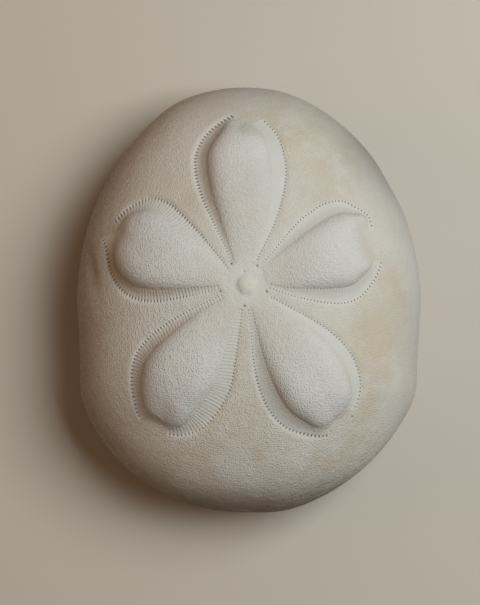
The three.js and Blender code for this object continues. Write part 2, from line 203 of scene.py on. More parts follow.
def through_points(points, steps):
    """Evenly spaced points on a smooth curve through the given ones (centripetal spacing)."""
    points = np.array(points, float)
    ends = [2 * points[0] - points[1], 2 * points[-1] - points[-2]]
    points = np.vstack([ends[0], points, ends[1]])
    gaps = np.linalg.norm(np.diff(points, axis=0), axis=1)
    knots = np.concatenate([[0], np.cumsum(np.sqrt(gaps))])
    dense = []
    for i in range(1, len(points) - 2):
        t0, t1, t2, t3 = knots[i - 1:i + 3]
        p0, p1, p2, p3 = points[i - 1:i + 3]
        t = np.linspace(t1, t2, SPAN_SAMPLES, endpoint=i == len(points) - 3)[:, None]
        a1 = (t1 - t) / (t1 - t0) * p0 + (t - t0) / (t1 - t0) * p1
        a2 = (t2 - t) / (t2 - t1) * p1 + (t - t1) / (t2 - t1) * p2
        a3 = (t3 - t) / (t3 - t2) * p2 + (t - t2) / (t3 - t2) * p3
        b1 = (t2 - t) / (t2 - t0) * a1 + (t - t0) / (t2 - t0) * a2
        b2 = (t3 - t) / (t3 - t1) * a2 + (t - t1) / (t3 - t1) * a3
        dense.append((t2 - t) / (t2 - t1) * b1 + (t - t1) / (t2 - t1) * b2)
    dense = np.vstack(dense)
    length = np.concatenate([[0], np.cumsum(np.linalg.norm(np.diff(dense, axis=0), axis=1))])
    even = np.linspace(0, length[-1], steps + 1)
    return np.stack([np.interp(even, length, dense[:, i]) for i in range(3)], axis=-1), length[-1]


def button_distance(x, y):
    return np.hypot(x - BUTTON[0], y - BUTTON[1])


def make_band(plan, **look):
    """Traces one band's edge. Its pores stop at the last given place before the tip."""
    plan = np.array(plan, float)
    points, length = through_points(dome_point(plan[:, 0], plan[:, 1]), BAND_STEPS)
    points = dome_point(points[:, 0], points[:, 1])
    along = np.gradient(points, axis=0)
    along /= np.linalg.norm(along, axis=1, keepdims=True)
    last = np.argmin(np.linalg.norm(points[:, :2] - plan[-2], axis=1))
    return {"points": points, "along": along, "length": length,
            "last_pore": last / BAND_STEPS * length, **look}


def make_petal(name):
    values = PETALS[name]
    bands = [make_band(values[side], **{look: values[look][index] for look in BAND_LOOKS})
             for index, side in enumerate(("left", "right"))]
    tip = bands[0]["points"][-1]
    return {"name": name, "bands": bands, "tip": tip,
            "outline": np.vstack([bands[0]["points"], bands[1]["points"][::-1]]),
            "reach": button_distance(tip[0], tip[1]), "ending": values["ending"]}


petals = [make_petal(name) for name in PETALS]
for petal in petals:
    print(petal["name"], "bands", [round(band["length"], 1) for band in petal["bands"]], "mm")

# %% [markdown]
# ## Where a point lies beside a band
# For any point of the dome this finds the nearest place on a band's edge, and from it how far
# along and how far across the point lies. Inside the petal the distance across counts up, and
# outside it counts down. A test against the petal's outline settles which side it is, because
# that holds near the tip too, where the two edges meet.

# %% Measure along and across the bands
CHUNK = 20000


def is_inside(points, outline):
    """Which points lie inside the outline, as seen from above."""
    inside = np.zeros(len(points), bool)
    for start, end in zip(np.roll(outline, 1, axis=0)[:, :2], outline[:, :2]):
        spans = (start[1] > points[:, 1]) != (end[1] > points[:, 1])
        if spans.any():
            rise = (points[:, 1] - start[1]) / (end[1] - start[1])
            inside ^= spans & (points[:, 0] < start[0] + rise * (end[0] - start[0]))
    return inside


def beside_band(points, band, inside):
    """How far along a band's edge, and how far across it towards the petal, each point lies."""
    along, across = np.empty(len(points)), np.empty(len(points))
    spacing = band["length"] / BAND_STEPS
    for first in range(0, len(points), CHUNK):
        chunk = slice(first, first + CHUNK)
        some = points[chunk]
        squares = ((some[:, None, :] - band["points"][None]) ** 2).sum(axis=2)
        nearest = squares.argmin(axis=1)
        offset = some - band["points"][nearest]
        ahead = np.clip((offset * band["along"][nearest]).sum(axis=1), -spacing / 2, spacing / 2)
        along[chunk] = nearest * spacing + ahead
        across[chunk] = np.sqrt(squares[np.arange(len(some)), nearest] - ahead ** 2)
    return along, np.where(inside, across, -across)


tip_along, _ = beside_band(petals[0]["tip"][None], petals[0]["bands"][0], np.array([False]))
print("the front petal's tip is", tip_along[0].round(1), "mm along its left band")

# %% [markdown]
# ## The form of bands and petals
# The band has an outer wall, a sunken floor, and past the petal's foot it comes back up under
# the petal's flank. The petal is rounded from foot to foot, grows out of the shell's middle and
# turns low and soft at its tip, where the two bands leave a gap. The button is a low boss with
# five soft lobes, and beside the end of one band the left margin has a shallow fold. All of it
# is a height to move the surface outwards by, so the forms add up and flow into each other.

# %% Heights of bands, petals and button
BAND_OPENING = (0.1, 0.7)
BAND_CLOSING = (3, 16)
BAND_START_WIDTH = 0.3
BAND_DEEPENING = (0.02, 0.6)
EDGE_DROP = 0.35
EDGE_ENDING = (4, 12)
EDGE_WALL = (-1, 0.8)
FLOOR_RISE = 1.2
FLOOR_POWER = 2.2
PETAL_HEIGHT = 3.3
PETAL_FLANK = 9.5
PETAL_STARTING = (0.02, 0.7)
TIP_ROUNDING = 8
TIP_ROUNDING_FADE = (6, 20)
BUTTON_RADIUS = 2.5
BUTTON_HEIGHT = 0.6
BUTTON_LOBES = 5
BUTTON_LOBE_DEPTH = 0.08
BUTTON_WALL = (0.45, 1.2)
DENT = (-43.7, 9.6)
DENT_TURN = math.radians(12)
DENT_HALF_WIDTH = 1.3
DENT_HALF_LENGTH = 6
DENT_DEPTH = 1.1


def band_opening(out):
    return lerp(BAND_START_WIDTH, 1, smoothstep(out, *BAND_OPENING))


def band_width(band, opening, from_tip):
    closing = lerp(band["end_widths"], 1, smoothstep(from_tip, *BAND_CLOSING))
    return band["widths"] * opening * closing


def edge_drop(left, right, from_tip):
    """How far the surface drops at the outer edge of the nearer of a petal's two bands."""
    nearest = np.where(left > 0, np.minimum(left, right), np.maximum(left, right))
    return EDGE_DROP * smoothstep(nearest, *EDGE_WALL) * smoothstep(from_tip, *EDGE_ENDING)


def floor_rise(left, right, left_width, right_width):
    """How far the floors of both bands have curved up towards the petal's feet."""
    floor = np.clip(left / left_width, 0, 1) * np.clip(right / right_width, 0, 1)
    return FLOOR_RISE * floor ** FLOOR_POWER


def corner_cut(from_left_foot, from_right_foot, from_tip):
    """How much both feet give way where they meet, so that the petal ends round."""
    span = TIP_ROUNDING * (1 - smoothstep(from_tip, *TIP_ROUNDING_FADE)) + TINY
    meeting = np.maximum(1 - np.abs(from_left_foot - from_right_foot) / span, 0)
    return span / 4 * meeting * meeting


def petal_rise(from_left_foot, from_right_foot):
    """Height of the petal's back, rounded from foot to foot."""
    left, right = np.maximum(from_left_foot, 0), np.maximum(from_right_foot, 0)
    inside = 2 * left * right / np.maximum(left + right, TINY)
    rest = 1 - np.minimum(inside / PETAL_FLANK, 1)
    return PETAL_HEIGHT * (1 - rest * rest)


def button_relief(x, y):
    angle = np.arctan2(y - BUTTON[1], x - BUTTON[0]) - math.pi / 2
    radius = BUTTON_RADIUS * (1 + BUTTON_LOBE_DEPTH * np.cos(BUTTON_LOBES * angle))
    return BUTTON_HEIGHT * (1 - smoothstep(button_distance(x, y) / radius, *BUTTON_WALL))


def dent_depth(x, y):
    """A shallow fold of the left margin, just outside the band's end."""
    off_x, off_y = x - DENT[0], y - DENT[1]
    across = (off_x * math.cos(DENT_TURN) + off_y * math.sin(DENT_TURN)) / DENT_HALF_WIDTH
    along = (off_y * math.cos(DENT_TURN) - off_x * math.sin(DENT_TURN)) / DENT_HALF_LENGTH
    return DENT_DEPTH * np.exp(-across * across - along * along)


print("petals rise", PETAL_HEIGHT, "mm, the bands' edges drop", EDGE_DROP, "mm")

# %% [markdown]
# ## From a ball to the shell
# The shell's skin starts as an even ball of triangles. Each vertex is sent to its place on the
# shell by its direction: how far it is turned from the pole gives how far out it lies on the
# dome or on the underside, measured along the surface. A grid of squares would pinch together
# at the middle of the petals, and this way the triangles stay even.

# %% Send directions to places
SECTION_RADIUS = 54.25
ARC_STEPS = 2000
shares = np.linspace(0, 1, ARC_STEPS + 1)


def arc_lengths(height):
    steps = np.hypot(np.diff(shares) * SECTION_RADIUS, np.diff(height(shares)))
    lengths = np.concatenate([[0], np.cumsum(steps)])
    return lengths / lengths[-1]


top_arc, underside_arc = arc_lengths(dome_height), arc_lengths(underside_height)


def place_on_shell(directions):
    """Plan place of each direction, and whether it is on the dome."""
    directions = directions / np.linalg.norm(directions, axis=1, keepdims=True)
    on_top = directions[:, 2] >= 0
    turn = np.arccos(np.clip(np.abs(directions[:, 2]), 0, 1)) / (math.pi / 2)
    share = np.where(on_top, np.interp(turn, top_arc, shares),
                     np.interp(turn, underside_arc, shares))
    angle = np.arctan2(directions[:, 1], directions[:, 0])
    radius = share * rim_radius(angle)
    return radius * np.cos(angle), radius * np.sin(angle), share, on_top


print("halfway from pole to rim lies at", np.interp(0.5, top_arc, shares).round(2), "of the radius")

# %% [markdown]
# ## A mesh that is fine only where it has to be
# A ball of even triangles would need millions of them for pores half a millimetre wide. So the
# ball starts coarse, and the faces near the petals, the bands and the pits are selected by their
# place and subdivided again and again, each time in a narrower strip.

# %% Make the ball and subdivide it beside the bands
MOUTH_RADIUS = 4.6
VENT = (0, -49)
VENT_RADIUS = 2.4
FOOD_GROOVES = 5
FOOD_GROOVE_END = 0.84
FOOD_GROOVE_MESH_END = 0.86
BALL_SUBDIVISIONS = 6
MESH_BORDER = 4
STRIPS = [
    {"past_edge": 4, "past_foot": 20, "button": 0, "pits": 5, "grooves": 5},
    {"past_edge": 1.8, "past_foot": 3, "button": 0, "pits": 2, "grooves": 2},
    {"past_edge": 1, "past_foot": 0.8, "button": 4, "pits": 0.8, "grooves": 0},
]

bpy.ops.object.select_all(action="DESELECT")
bpy.ops.mesh.primitive_ico_sphere_add(subdivisions=BALL_SUBDIVISIONS, radius=1)
shell = bpy.context.object
shell.name = "sea_biscuit_shell"


def vertex_places(mesh):
    flat = np.empty(len(mesh.vertices) * 3)
    mesh.vertices.foreach_get("co", flat)
    return flat.reshape(-1, 3)


def face_centres(mesh):
    flat = np.empty(len(mesh.polygons) * 3)
    mesh.polygons.foreach_get("center", flat)
    return flat.reshape(-1, 3)


def close_to_petal(petal, x, y, on_top, border):
    """Which points of the dome lie in the petal's box, with a border around it."""
    low, high = petal["outline"].min(axis=0) - border, petal["outline"].max(axis=0) + border
    return np.flatnonzero(on_top & (x > low[0]) & (x < high[0]) & (y > low[1]) & (y < high[1]))


def bands_reach(x, y, on_top, past_edge, past_foot):
    """Which points lie in a strip from past_edge outside a band to past_foot inside its foot."""
    found = np.zeros(len(x), bool)
    for petal in petals:
        near = close_to_petal(petal, x, y, on_top, MESH_BORDER)
        points = dome_point(x[near], y[near])
        inside = is_inside(points, petal["outline"])
        from_tip = np.linalg.norm(points - petal["tip"], axis=1)
        opening = band_opening(button_distance(x[near], y[near]) / petal["reach"])
        for band in petal["bands"]:
            _, across = beside_band(points, band, inside)
            width = band_width(band, opening, from_tip)
            found[near] |= (across > -past_edge) & (across < width + past_foot)
    return found


def by_food_groove(x, y):
    """For each food groove, how far out along it and how far beside it every point lies."""
    for i in range(FOOD_GROOVES):
        angle = math.pi / 2 + i * math.tau / FOOD_GROOVES
        out = x * math.cos(angle) + y * math.sin(angle)
        yield out, np.abs(y * math.cos(angle) - x * math.sin(angle))


def vent_distance(x, y):
    return np.hypot(x - VENT[0], y - VENT[1])


def underside_reach(x, y, share, pits, grooves):
    """Which points lie near the wall of the mouth or the vent, or near a food groove."""
    found = np.abs(np.hypot(x, y) - MOUTH_RADIUS) < pits
    found |= np.abs(vent_distance(x, y) - VENT_RADIUS) < pits
    for out, aside in by_food_groove(x, y):
        found |= (out > 0) & (aside < grooves) & (share < FOOD_GROOVE_MESH_END)
    return found


def subdivide(strip):
    """Subdivides the faces whose places lie in the strip, and puts all vertices on the ball."""
    x, y, share, on_top = place_on_shell(face_centres(shell.data))
    chosen = bands_reach(x, y, on_top, strip["past_edge"], strip["past_foot"])
    chosen |= on_top & (button_distance(x, y) < strip["button"])
    chosen |= ~on_top & underside_reach(x, y, share, strip["pits"], strip["grooves"])
    bpy.ops.object.mode_set(mode="EDIT")
    bpy.ops.mesh.select_mode(type="FACE")
    bpy.ops.mesh.select_all(action="DESELECT")
    bpy.ops.object.mode_set(mode="OBJECT")
    shell.data.polygons.foreach_set("select", chosen)
    bpy.ops.object.mode_set(mode="EDIT")
    bpy.ops.mesh.subdivide(number_cuts=1, ngon=False)
    bpy.ops.mesh.select_all(action="SELECT")
    bpy.ops.mesh.quads_convert_to_tris()
    bpy.ops.object.mode_set(mode="OBJECT")
    balls = vertex_places(shell.data)
    balls /= np.linalg.norm(balls, axis=1, keepdims=True)
    shell.data.vertices.foreach_set("co", balls.ravel())
    shell.data.update()
    print("subdivided", int(chosen.sum()), "faces, now", len(shell.data.polygons))


for strip in STRIPS:
    subdivide(strip)

# %% [markdown]
# ## The pores and furrows
# On the real shell a slit pore at the band's edge and a round pore at the petal's foot let one
# soft foot out, and a furrow joins them. They are too many to place by hand, so a count along
# the band says where each stands. The slits grow longer with the band, and at some tips they
# are longer still. The five bigger pores around the button, and a few pits seen in the photo,
# are placed one by one.

# %% Pores and furrows of a band
PITCH_START = 0.85
PITCH_END = 1.2
ROW_END = (-0.2, 0.4)
SLIT_DEPTH = 0.14
SLIT_HALF_WIDTH = 0.21
SLIT_INSET = 0.1
SLIT_ROUNDING = 0.15
SLIT_END_FADE = 0.16
SLIT_START_LENGTH = 0.3
SLIT_GROWING = (0.45, 0.95)
SLIT_TIP_REACH = (8, 18)
INNER_PORE_DEPTH = 0.1
INNER_PORE_RADIUS = 0.2
INNER_PORE_INSET = 0.15
FURROW_DEPTH = 0.05
FURROW_START = (0.1, 0.6)
FURROW_END = (-0.5, 0.3)
SMALL_OPENING_DEPTH = 0.4
SMALL_OPENINGS = [(-4.9, 9.9, 0.38), (2, 9.3, 0.4), (-7.9, 2.5, 0.35), (4.6, 2.4, 0.4),
                  (-1.4, -1.5, 0.35), (-6, 5.2, 0.25), (-1.3, 7.9, 0.25), (-3.8, 3.6, 0.2),
                  (-2.6, 2.5, 0.2), (36.5, 21.5, 0.3), (39, 12.2, 0.35), (28.5, -33.3, 0.3),
                  (28.2, -31.8, 0.3)]


def pore_count(along, band):
    """How many pores lie before a place along a band: the pitch grows along it."""
    growth = (PITCH_END - PITCH_START) / band["length"]
    return np.log1p(growth * along / PITCH_START) / growth


def pore_pitch(along, band):
    return PITCH_START + (PITCH_END - PITCH_START) * along / band["length"]


def slit_length(opening, from_tip, band):
    longer = lerp(band["end_slits"], 1, smoothstep(from_tip, *SLIT_TIP_REACH))
    return longer * lerp(SLIT_START_LENGTH, band["slits"], smoothstep(opening, *SLIT_GROWING))


def pore_relief(along, across, slit_span, width, band):
    """Depth of the pores and furrows of one band, and how much of it has pores."""
    pitch = pore_pitch(along, band)
    aside = (np.mod(pore_count(along, band), 1) - 0.5) * pitch
    from_foot = across - width
    pored = (smoothstep(along, *ROW_END)
             * (1 - smoothstep(along - band["last_pore"], *ROW_END)))
    half = slit_span / 2
    past_slit = np.maximum(np.abs(across - SLIT_INSET - half) - half + SLIT_ROUNDING, 0)
    slit = np.exp(-((aside / SLIT_HALF_WIDTH) ** 2) - (past_slit / SLIT_END_FADE) ** 2)
    off_foot = (from_foot + INNER_PORE_INSET) / INNER_PORE_RADIUS
    inner = band["inner"] * np.exp(-((aside / INNER_PORE_RADIUS) ** 2) - off_foot ** 2)
    stretch = smoothstep(across, *FURROW_START) * (1 - smoothstep(from_foot, *FURROW_END))
    furrow = stretch * band["furrows"] * (0.5 + 0.5 * np.cos(math.tau * aside / pitch))
    depth = SLIT_DEPTH * slit + INNER_PORE_DEPTH * inner + FURROW_DEPTH * furrow
    return depth * pored, pored


def small_openings(x, y):
    """How deep a point lies in one of the single pores, from 0 to 1."""
    found = [np.exp(-((np.hypot(x - pore_x, y - pore_y) / radius) ** 2))
             for pore_x, pore_y, radius in SMALL_OPENINGS]
    return np.max(found, axis=0)


for petal in petals:
    counts = [int(pore_count(band["last_pore"], band)) for band in petal["bands"]]
    print(petal["name"], "has", counts, "pores in its bands")

# %% [markdown]
# ## The relief of the top and its marks
# This adds up the heights of bands, petals, pores and button for every vertex of the dome. It
# also leaves marks on each vertex: how far it lies along and across the nearest band, and how
# much it is band floor, painted crease shade or petal back. The finish reads them, so colour fits
# form.

# %% Add up the relief and leave the marks
RELIEF_BORDER = 5
EDGE_FADE = (-0.3, 0.3)
FOOT_FADE = (-0.8, 0.8)
CREASE_INSET = 0.25
CREASE_SPREAD = 0.38
CREASE_LEAST = 0.2
BACK_STARTING = (0.1, 0.6)
DENT_SHADE = 0.9
FAR_AWAY = -50
MARKS = {"pore_row": 0, "from_edge": FAR_AWAY, "from_foot": FAR_AWAY, "pored": 0, "slit": 0,
         "furrowed": 0, "inner": 0, "band_floor": 0, "crease_shade": 0, "petal_back": 0,
         "opening": 0, "groove": 0}


def keep_highest(marks, name, near, values):
    marks[name][near] = np.maximum(marks[name][near], values)


def keep_nearest(marks, near, values):
    """Keeps a band's marks at the points that lie nearer to it than to any band before."""
    nearer = np.abs(values["from_edge"]) < np.abs(marks["from_edge"][near])
    for name, value in values.items():
        marks[name][near[nearer]] = np.broadcast_to(value, nearer.shape)[nearer]


def cut_band(height, marks, near, band, place):
    """Cuts one band's pores and leaves its marks, and gives the distance across and the width."""
    along, across = beside_band(place["points"], band, place["inside"])
    width = band_width(band, place["opening"], place["from_tip"])
    slit_span = slit_length(place["opening"], place["from_tip"], band)
    depth, pored = pore_relief(along, across, slit_span, width, band)
    height[near] -= depth
    from_foot = across - width
    on_floor = smoothstep(across, *EDGE_FADE) * (1 - smoothstep(from_foot, *FOOT_FADE))
    keep_highest(marks, "band_floor", near, on_floor * pored)
    # The crease mark is painted shade along the petal's foot, weighted per band by how much that
    # band lies in shade.
    from_crease = (from_foot + CREASE_INSET * width) / (CREASE_SPREAD * width + CREASE_LEAST)
    crease_shade = band["crease_shade_strength"] * place["strength"] * np.exp(-from_crease ** 2)
    keep_highest(marks, "crease_shade", near, crease_shade)
    keep_nearest(marks, near, {
        "pore_row": pore_count(along, band), "from_edge": across, "from_foot": from_foot,
        "pored": pored, "slit": slit_span, "furrowed": band["furrows"], "inner": band["inner"]})
    return across, width


def raise_petal(height, marks, points, on_top, petal):
    near = close_to_petal(petal, points[:, 0], points[:, 1], on_top, RELIEF_BORDER)
    some = points[near]
    out = button_distance(some[:, 0], some[:, 1]) / petal["reach"]
    from_tip = np.linalg.norm(some - petal["tip"], axis=1)
    deepening = smoothstep(out, *BAND_DEEPENING)
    ending = smoothstep(from_tip, *petal["ending"])
    place = {"points": some, "inside": is_inside(some, petal["outline"]), "from_tip": from_tip,
             "opening": band_opening(out), "strength": deepening * ending}
    left, left_width = cut_band(height, marks, near, petal["bands"][0], place)
    right, right_width = cut_band(height, marks, near, petal["bands"][1], place)
    left_foot, right_foot = left - left_width, right - right_width
    cut = corner_cut(left_foot, right_foot, from_tip)
    height[near] += deepening * ending * floor_rise(left - cut, right - cut,
                                                    left_width, right_width)
    height[near] -= deepening * edge_drop(left, right, from_tip)
    height[near] += (smoothstep(out, *PETAL_STARTING) * ending
                     * petal_rise(left_foot - cut, right_foot - cut))
    back = (smoothstep(np.minimum(left_foot, right_foot), *FOOT_FADE)
            * smoothstep(out, *BACK_STARTING) * ending)
    keep_highest(marks, "petal_back", near, back)


def top_relief(points, on_top):
    """Height of the relief at points of the dome, and the marks that the finish needs."""
    x, y = points[:, 0], points[:, 1]
    dent = on_top * dent_depth(x, y)
    height = on_top * button_relief(x, y) - dent
    marks = {name: np.full(len(points), float(start)) for name, start in MARKS.items()}
    for petal in petals:
        raise_petal(height, marks, points, on_top, petal)
    # The dent's fold gets painted shade as well.
    marks["crease_shade"] = np.maximum(marks["crease_shade"], DENT_SHADE * dent / DENT_DEPTH)
    marks["opening"] = small_openings(x, y) * on_top
    return height - SMALL_OPENING_DEPTH * marks["opening"], marks


vertex_x, vertex_y, vertex_share, on_top = place_on_shell(vertex_places(shell.data))
points = dome_point(vertex_x, vertex_y)
relief_height, marks = top_relief(points, on_top)
print("relief from", relief_height.min().round(2), "to", relief_height.max().round(2), "mm")

# %% [markdown]
# ## The underside
# The animal's mouth sits at the top of a funnel in the middle of the flat underside. Its pit is
# a soft pentagon, five shallow food grooves run out from it, and the small round vent lies near
# the rear. Nothing of this shows in the photo, so it follows the kind. The pits could be cut
# with other shapes, but moving the vertices keeps the skin in one piece.

# %% Food grooves, mouth and vent
MOUTH_DEPTH = 6
MOUTH_CORNERS = 0.07
VENT_DEPTH = 1.8
PIT_WALL = 0.35
FOOD_GROOVE_HALF_WIDTH = 1.3
FOOD_GROOVE_DEPTH = 0.7
FOOD_GROOVE_FADE = 0.12


def food_groove_depth(x, y, share):
    depth = np.zeros(len(x))
    for out, aside in by_food_groove(x, y):
        depth += (out > 0) * FOOD_GROOVE_DEPTH * (1 - smoothstep(aside, 0, FOOD_GROOVE_HALF_WIDTH))
    return depth * (1 - smoothstep(share, FOOD_GROOVE_END - FOOD_GROOVE_FADE, FOOD_GROOVE_END))


def pit(distance, radius):
    return 1 - smoothstep(distance, radius - PIT_WALL, radius + PIT_WALL)


def mouth_distance(x, y):
    """Distance from the mouth's middle, stretched so that the mouth is a soft pentagon."""
    angle = np.arctan2(y, x) - math.pi / 2
    return np.hypot(x, y) * (1 - MOUTH_CORNERS * np.cos(FOOD_GROOVES * angle))


def underside_relief(x, y, share):
    """Height of the underside above the floor, and the marks of its pits and grooves."""
    mouth = pit(mouth_distance(x, y), MOUTH_RADIUS)
    vent = pit(vent_distance(x, y), VENT_RADIUS)
    groove = food_groove_depth(x, y, share)
    height = lerp(underside_height(share) + groove, FUNNEL_DEPTH + MOUTH_DEPTH, mouth)
    marks = {"opening": np.maximum(mouth, vent), "groove": groove / FOOD_GROOVE_DEPTH}
    return height + VENT_DEPTH * vent, marks


underside_z, underside_marks = underside_relief(vertex_x, vertex_y, vertex_share)
for name, values in underside_marks.items():
    marks[name][~on_top] = values[~on_top]
print("the mouth's pit ends", underside_z[~on_top].max().round(1), "mm above the floor")

# %% [markdown]
# ## Move every vertex to its place
# On top each vertex goes out along the dome's own direction by the relief. Underneath it goes
# straight up from the floor. Moving the vertices, and not only their shading, gives the pores
# real depth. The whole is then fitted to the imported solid's own corners.

# %% Place the vertices and store the marks
points += dome_normal(vertex_x, vertex_y) * relief_height[:, None]
points[~on_top, 2] = underside_z[~on_top]
low, high = points.min(axis=0), points.max(axis=0)
points = shell_low + (points - low) * (shell_high - shell_low) / (high - low)
shell.data.vertices.foreach_set("co", points.ravel())
for name, values in marks.items():
    shell.data.attributes.new(name, "FLOAT", "POINT").data.foreach_set("value", values)
shell.data.update()
print("the shell has", len(points), "vertices and the marks", list(marks))

# %% [markdown]
# ## Smooth shading
# The real surface has no facets, so the faces are shaded smooth. The piece then takes its place
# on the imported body, and the plain solid isn't shown.

# %% Shade smooth
bpy.ops.object.shade_smooth()
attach(shell, "root")
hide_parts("shell")
print(shell.name, "rides on the packed body with", len(shell.data.polygons), "faces")

# %% [markdown]
# ## The chalky finish
# Dry shell is matt and warm white, and its colour, dirt and fine grain change from place to
# place. They could be painted by hand, but shader nodes that read the place in the shell and the
# marks of the mesh stay sharp at any distance. These helpers each make one such node.

# %% Shader helpers
shell_material = bpy.data.materials.new("chalky_shell")
shell_material.use_nodes = True
nodes, links = shell_material.node_tree.nodes, shell_material.node_tree.links
KNOB_RANDOMNESS = 0.75
WRINKLE_AROUND = 18.0
WRINKLE_DETAIL = 3.0


def feed(socket, value):
    """Joins a socket to another, or sets it to a plain value."""
    if isinstance(value, bpy.types.NodeSocket):
        links.new(value, socket)
    else:
        socket.default_value = value


def work(operation, *values):
    made = nodes.new("ShaderNodeMath")
    made.operation = operation
    for socket, value in zip(made.inputs, values):
        feed(socket, value)
    return made.outputs[0]


def product(*values):
    result = values[0]
    for value in values[1:]:
        result = work("MULTIPLY", result, value)
    return result


def ease(value, low, high, start=0.0, end=1.0):
    """A smooth step from start to end while the value goes from low to high."""
    made = nodes.new("ShaderNodeMapRange")
    made.interpolation_type = "SMOOTHSTEP"
    for socket, part in zip(made.inputs, (value, low, high, start, end)):
        feed(socket, part)
    return made.outputs[0]


def fade(value, low, high):
    """A smooth step down from 1 to 0 while the value goes from low to high."""
    return ease(value, low, high, 1.0, 0.0)


def diagonal(along, across):
    """Straight distance over two steps at right angles."""
    return work("SQRT", work("ADD", work("POWER", along, 2.0), work("POWER", across, 2.0)))


def mark(name):
    made = nodes.new("ShaderNodeAttribute")
    made.attribute_name = name
    return made.outputs["Fac"]


def noise(scale, detail, roughness, seed=0.0):
    """Cloudy noise whose scale counts patches per millimetre."""
    made = nodes.new("ShaderNodeTexNoise")
    made.noise_dimensions = "4D"
    feed(made.inputs["Vector"], millimetres)
    feed(made.inputs["W"], seed)
    feed(made.inputs["Scale"], scale)
    feed(made.inputs["Detail"], detail)
    feed(made.inputs["Roughness"], roughness)
    return made.outputs["Fac"]


def wrinkles(scale, upwards):
    """Streaks that run around the margin: slow along it, quick up and down."""
    turn = work("ARCTAN2", y_mm, x_mm)
    made = nodes.new("ShaderNodeCombineXYZ")
    feed(made.inputs[0], product(work("COSINE", turn), WRINKLE_AROUND))
    feed(made.inputs[1], product(work("SINE", turn), WRINKLE_AROUND))
    feed(made.inputs[2], product(work("SUBTRACT", height_mm, diagonal(x_mm, y_mm)), upwards))
    streaked = nodes.new("ShaderNodeTexNoise")
    feed(streaked.inputs["Vector"], made.outputs[0])
    feed(streaked.inputs["Scale"], scale)
    feed(streaked.inputs["Detail"], WRINKLE_DETAIL)
    return streaked.outputs["Fac"]


def cells(scale):
    """Distance from the middle of small round cells, in cell widths."""
    made = nodes.new("ShaderNodeTexVoronoi")
    feed(made.inputs["Vector"], millimetres)
    feed(made.inputs["Scale"], scale)
    feed(made.inputs["Randomness"], KNOB_RANDOMNESS)
    return made.outputs["Distance"]


def near_spot(x, y, z, radius):
    """1 at a spot on the shell, easing to 0 at its radius; all in millimetres."""
    made = nodes.new("ShaderNodeVectorMath")
    made.operation = "DISTANCE"
    feed(made.inputs[0], millimetres)
    feed(made.inputs[1], (x, y, z))
    return fade(made.outputs["Value"], 0.0, float(radius))


def blend(under, over, factor):
    made = nodes.new("ShaderNodeMix")
    made.data_type = "RGBA"
    feed(made.inputs[0], factor)
    feed(made.inputs[6], under)
    feed(made.inputs[7], over)
    return made.outputs[2]


coordinates = nodes.new("ShaderNodeTexCoord")
scaled = nodes.new("ShaderNodeVectorMath")
scaled.operation = "SCALE"
feed(scaled.inputs[0], coordinates.outputs["Object"])
scaled.inputs["Scale"].default_value = 1 / MM
millimetres = scaled.outputs[0]
separated = nodes.new("ShaderNodeSeparateXYZ")
feed(separated.inputs[0], millimetres)
x_mm, y_mm, height_mm = separated.outputs
print("the finish starts with", len(nodes), "nodes")

# %% [markdown]
# ## Pores drawn sharp
# The mesh carries, for each vertex, how far it lies along and across the nearest band. The
# shader turns these back into slits, round pores and furrows, so their edges stay sharp however
# close one looks, and paints painted shade inside them. The painted shade is uneven, so a slow
# noise makes some rows paler.

# %% Pores and furrows in the shader
SLIT_EDGE = (0.03, 0.19)
INNER_PORE_EDGE = (0.04, 0.2)
INNER_PORE_TINT = 0.7
FURROW_EDGE = (0.05, 0.4)
PORE_SHADE = (0.35, 0.6, 0.8, 1.0)

aside = work("ABSOLUTE", work("SUBTRACT", work("FRACT", mark("pore_row")), 0.5))
half_slit = work("MULTIPLY", mark("slit"), 0.5)
slit_middle = work("ADD", half_slit, SLIT_INSET)
off_middle = work("ABSOLUTE", work("SUBTRACT", mark("from_edge"), slit_middle))
straight_part = work("SUBTRACT", half_slit, SLIT_ROUNDING)
past_slit = work("MAXIMUM", work("SUBTRACT", off_middle, straight_part), 0.0)
slit_mask = fade(diagonal(aside, past_slit), *SLIT_EDGE)
off_foot = work("ADD", mark("from_foot"), INNER_PORE_INSET)
inner_mask = product(fade(diagonal(aside, off_foot), *INNER_PORE_EDGE),
                     mark("inner"), INNER_PORE_TINT)
pore_shade = ease(noise(scale=0.7, detail=1.0, roughness=0.5, seed=31.0), *PORE_SHADE)
pores = product(work("MAXIMUM", slit_mask, inner_mask), mark("pored"), pore_shade)
furrow_stretch = product(ease(mark("from_edge"), *FURROW_START),
                         fade(mark("from_foot"), *FURROW_END))
furrows = product(fade(aside, *FURROW_EDGE), furrow_stretch, mark("furrowed"), mark("pored"))
print("with pores and furrows:", len(nodes), "nodes")

# %% [markdown]
# ## The sides of the shell
# Light and shade differ from side to side, and some of the colour is painted shade: the margin
# is painted duller than the top, the rear is painted into shade, and the left is painted warm, as
# its shade is. These are soft masks by height and by side, each with the two places between which
# it eases. A spot is a point and a radius.

# %% Masks by height and side
MARGIN = (22, 48)
REAR_MARGIN = (29, 43)
UNDERNEATH = (6, 14)
LEFT_SIDE = (-46, 5)
REAR_SIDE = (-60, -42)
REAR_HALF = (-52, -24)
FRONT_SIDE = (44, 60)
FRONT_LEFT = (12, 34)
RIGHT_SIDE = (26, 46)
FRONT_RIGHT = (37, 42, 27, 29)
FRONT_PETAL = (4, 34, 53, 12)
# Spots of painted shade on two band floors beside a petal's shaded flank.
BROWN_SHADED_BAND = (-38.5, 7, 37, 12)
GREY_SHADED_BAND = (5, -29, 47, 19)
MIDDLE = (*BUTTON, DOME_Z, 36)
SMOOTH_MIDDLE = (*BUTTON, DOME_Z, 10)
BUTTON_SPOT = (*BUTTON, DOME_Z, 5)

